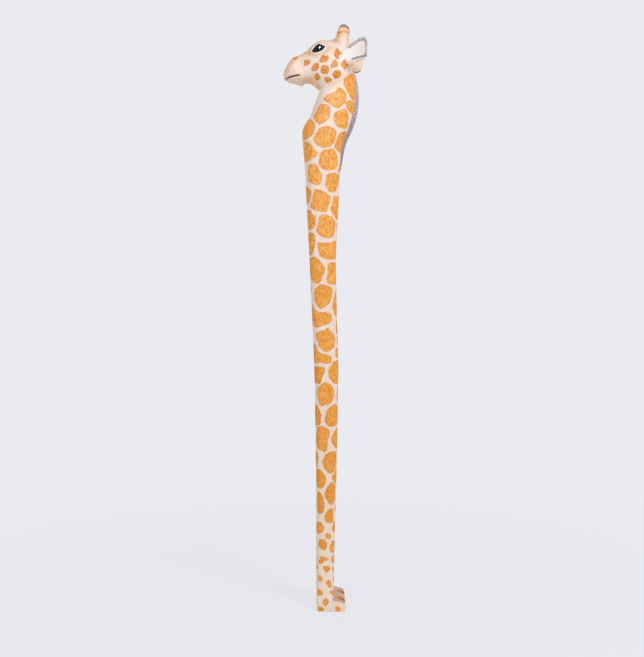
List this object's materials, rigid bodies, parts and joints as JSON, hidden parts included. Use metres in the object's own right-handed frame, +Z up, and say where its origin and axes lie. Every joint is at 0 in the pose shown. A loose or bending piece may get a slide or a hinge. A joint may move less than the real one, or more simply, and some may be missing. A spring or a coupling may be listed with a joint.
{
  "type": "back scratcher",
  "caption": "Slim wooden back scratcher topped by a carved giraffe head and neck, painted with orange patches, ending in a short toed foot at a right angle.",
  "frame": {"origin": "on the sole of the foot, under the middle of the shaft", "axes": "+Z up along the stick, -X is where the giraffe looks, -Y is its left side"},
  "size_m": [0.0631, 0.0438, 0.44],
  "materials": {
    "painted_body": "satin hand paint, orange patches on cream",
    "painted_toes": "satin hand paint over knife cuts",
    "dowel_wood": "bare wood",
    "painted_ears": "satin hand paint, grey rim",
    "painted_horns": "satin hand paint, grey cap",
    "eye_black": "glossy",
    "painted_mane": "satin hand paint, brushed"
  },
  "bodies": {
    "root": {"carved_body": "painted_body", "toe_block": "painted_toes", "toe_dowel_left": "dowel_wood", "toe_dowel_right": "dowel_wood", "ear_left": "painted_ears", "ear_right": "painted_ears", "ossicone_left": "painted_horns", "ossicone_right": "painted_horns", "eye_left": "eye_black", "eye_right": "eye_black", "mane_strip": "painted_mane"}
  },
  "joints": []
}
